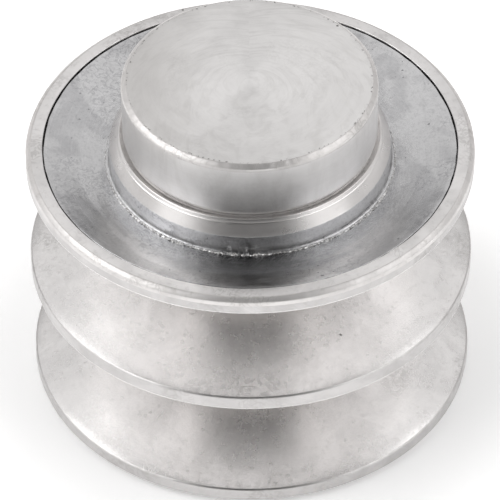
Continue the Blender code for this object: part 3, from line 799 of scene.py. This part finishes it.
def build_ball(name, body, slot, finishes):
    low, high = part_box(name)
    mesh = bpy.data.meshes.new(name + "_detail")
    bm = bmesh.new()
    bmesh.ops.create_uvsphere(bm, u_segments=48, v_segments=24, radius=(high.z - low.z) / 2.0)
    bm.to_mesh(mesh)
    bm.free()
    mesh.shade_smooth()
    mesh.materials.append(finishes[slot])
    ball = bpy.data.objects.new(name + "_detail", mesh)
    ball.location = (low + high) / 2.0
    bpy.context.scene.collection.objects.link(ball)
    put(ball, body, slot, name)


def finish_inner_nodes(finishes):
    """Gives each hidden CAD node a finer copy where it is a ring or a ball, and the right finish otherwise."""
    record = frame["record"]
    bodies = record["behaviour"]["bodies"]
    slot_of = {row["node"]: row["material_slot"] for row in record["subparts"]}
    body_of = {node: body for body, nodes in bodies.items() for node in nodes}
    for name, slot in slot_of.items():
        if name.endswith(("_ring", "_spacer", "_washer", "_top_seal", "_bottom_seal")):
            build_ring(name, body_of[name], slot, finishes)
        elif "_ball_" in name:
            build_ball(name, body_of[name], slot, finishes)
        elif slot in finishes:
            frame["nodes"][name].material_slots[0].material = finishes[slot]


# ---------------------------------------------------------------- stage

CAMERA_ELEVATION = math.radians(43.5)
CAMERA_DISTANCE = 0.6388
CAMERA_LENS = 311.0
CAMERA_ROLL = math.radians(-0.466)
CAMERA_AIM = (-0.00013, 0.0, 0.02014)

SOFTBOX_DISTANCE = 0.9

# The softboxes' powers in watts, then the room's brightness at the horizon, low and high on its walls, and the
# glow of the floor
LEVELS = {
    "left": 2.7,
    "right": 1.28,
    "right_key": 0.22,
    "left_card": 0.38,
    "right_card": 0.37,
    "rear": 0.06,
    "horizon": 0.42,
    "wall": 0.24,
    "sky": 0.81,
    "table": 0.25,
}


def build_camera():
    camera = bpy.data.cameras.new("camera")
    camera.lens = CAMERA_LENS
    camera.sensor_width = 36.0
    camera.clip_start = 0.05
    obj = bpy.data.objects.new("camera", camera)
    back = Matrix.Rotation(math.pi / 2.0 - CAMERA_ELEVATION, 4, "X")
    roll = Matrix.Rotation(CAMERA_ROLL, 4, "Z")
    away = Matrix.Translation((0.0, 0.0, CAMERA_DISTANCE))
    obj.matrix_world = Matrix.Translation(CAMERA_AIM) @ back @ roll @ away
    bpy.context.scene.collection.objects.link(obj)
    bpy.context.scene.camera = obj


def build_floor():
    """A light table: a pale plane that glows a little, and more outside the pulley, so its shadow is soft."""
    bpy.ops.mesh.primitive_plane_add(size=6.0, location=(0.0, 0.0, 0.0))
    floor = bpy.context.object
    floor.name = "floor"
    g = Graph("pale_floor")
    cloud = g.noise(g.place, 120.0, 2.0)
    colour = g.mix(cloud, (0.95, 0.95, 0.95), (0.97, 0.97, 0.97))
    grain = g.noise(g.place, 0.6, 2.0)
    g.shader.inputs["Emission Color"].default_value = (1.0, 1.0, 1.0, 1.0)
    glow = g.remap(g.radius, 0.033, 0.050, LEVELS["table"], 1.7 * LEVELS["table"])
    g.link(glow, g.shader.inputs["Emission Strength"])
    floor.data.materials.append(g.finish(colour, 0.9, g.bumped(grain, 0.005), 0.0))


def add_softbox(name, azimuth, elevation, width, height, power):
    """A rectangular softbox that faces the pulley; azimuth 0 is in front of it, 90 to its right."""
    lamp = bpy.data.lights.new(name, "AREA")
    lamp.shape = "RECTANGLE"
    lamp.size = width
    lamp.size_y = height
    lamp.energy = power
    obj = bpy.data.objects.new(name, lamp)
    swing = Matrix.Rotation(math.radians(azimuth), 4, "Z")
    tilt = Matrix.Rotation(math.radians(90.0 - elevation), 4, "X")
    obj.matrix_world = swing @ tilt @ Matrix.Translation((0.0, 0.0, SOFTBOX_DISTANCE))
    bpy.context.scene.collection.objects.link(obj)


class Room:
    """Short ways to add the nodes that shade the room by direction."""

    def __init__(self, world):
        world.use_nodes = True
        self.nodes = world.node_tree.nodes
        self.links = world.node_tree.links

    def math(self, operation, a, b=0.0):
        node = self.nodes.new("ShaderNodeMath")
        node.operation = operation
        for value, socket in zip((a, b), node.inputs):
            if isinstance(value, bpy.types.NodeSocket):
                self.links.new(value, socket)
            else:
                socket.default_value = value
        return node.outputs[0]

    def smooth(self, value, low, high, to_low, to_high):
        node = self.nodes.new("ShaderNodeMapRange")
        node.interpolation_type = "SMOOTHSTEP"
        self.links.new(value, node.inputs[0])
        for socket, number in zip(node.inputs[1:5], (low, high, to_low, to_high)):
            socket.default_value = number
        return node.outputs[0]


def sine(degrees):
    """The height of a direction at this elevation."""
    return math.sin(math.radians(degrees))


def build_room():
    """Pale walls at the horizon and a pale sky behind and beside the pulley; in front it is dark higher up."""
    world = bpy.data.worlds.new("studio")
    bpy.context.scene.world = world
    room = Room(world)
    split = room.nodes.new("ShaderNodeSeparateXYZ")
    room.links.new(room.nodes.new("ShaderNodeTexCoord").outputs["Generated"], split.inputs[0])
    x, y, z = split.outputs
    bearing = room.math("ABSOLUTE", room.math("ARCTAN2", x, room.math("MULTIPLY", y, -1.0)))
    beside = room.smooth(bearing, math.radians(38.0), math.radians(56.0), 0.045, 1.0)
    below_zenith = room.smooth(z, sine(60.0), sine(74.0), 1.0, 0.1)
    horizon = room.smooth(z, sine(12.0), sine(27.0), LEVELS["horizon"], 0.0)
    above = room.smooth(z, sine(20.0), sine(34.0), LEVELS["wall"], LEVELS["sky"])
    above = room.math("MULTIPLY", room.math("MULTIPLY", above, beside), below_zenith)
    level = room.math("ADD", horizon, above)
    background = room.nodes["Background"]
    room.links.new(level, background.inputs["Strength"])
    background.inputs["Color"].default_value = (1.0, 0.99, 0.985, 1.0)


def build_softboxes():
    add_softbox("left_softbox", -79.0, 48.0, 0.85, 0.50, LEVELS["left"])
    add_softbox("right_softbox", 78.0, 50.0, 0.85, 0.50, LEVELS["right"])
    add_softbox("right_key", 46.0, 37.0, 0.40, 0.42, LEVELS["right_key"])
    add_softbox("left_card", -52.0, 12.0, 0.60, 0.20, LEVELS["left_card"])
    add_softbox("right_card", 56.0, 12.0, 0.60, 0.20, LEVELS["right_card"])
    add_softbox("rear_softbox", 180.0, 56.0, 0.60, 0.30, LEVELS["rear"])


def build_finishes():
    """Every finish, by the name that the outlines and the record's material slots use."""
    clean, warm, bright = (0.92, 0.91, 0.905), (0.84, 0.82, 0.81), (0.88, 0.865, 0.86)
    # The darkest tone is for the bottom of the grooves.
    land, edge, dirty = (0.65, 0.635, 0.63), (0.78, 0.76, 0.75), (0.50, 0.48, 0.465)
    return {
        "dirty": machined_aluminium("dark_root_metal", dirty, 0.34, 0.3, 50.0, marks=0.10),
        "turned": machined_aluminium("groove_metal", bright, 0.22, 0.5, 0.0, marks=0.05, wear=0.9),
        "land": machined_aluminium("land_metal", land, 0.34, 0.4, 10.0, marks=0.04),
        "edge": machined_aluminium("edge_metal", edge, 0.45, 0.2, 30.0, marks=0.04),
        "face": machined_aluminium("rim_face_metal", bright, 0.34, 0.4, 20.0, marks=0.05),
        "faced": machined_aluminium(
            "faced_metal", clean, 0.35, 0.5, 40.0, marks=0.07, wear=0.26, smears_and_shade=0.17, edge_radius=17.7
        ),
        "cone": machined_aluminium("cone_metal", warm, 0.29, 0.4, 60.0, marks=0.08, wear=0.35),
        "cast": cast_aluminium(),
        "torn": torn_aluminium(),
        "bearing_steel": steel("ground_steel", (0.62, 0.62, 0.63), 0.15),
        "cage_steel": steel("pressed_steel", (0.56, 0.55, 0.52), 0.30),
        "spring_steel": steel("phosphated_steel", (0.10, 0.10, 0.11), 0.42),
        "zinc_steel": steel("zinc_plate", (0.62, 0.63, 0.65), 0.28, 0.4),
        "rubber": nitrile("seal_rubber"),
    }


def build_pieces(finishes):
    build_rim(finishes)
    build_hub(finishes)
    build_burr(finishes)
    build_cap(finishes)
    build_spindle(finishes)
    build_shaft_seal(finishes)
    finish_inner_nodes(finishes)


def main():
    bpy.context.scene.view_settings.view_transform = "Standard"
    build_camera()
    build_floor()
    build_room()
    build_softboxes()
    build_pieces(build_finishes())


main()
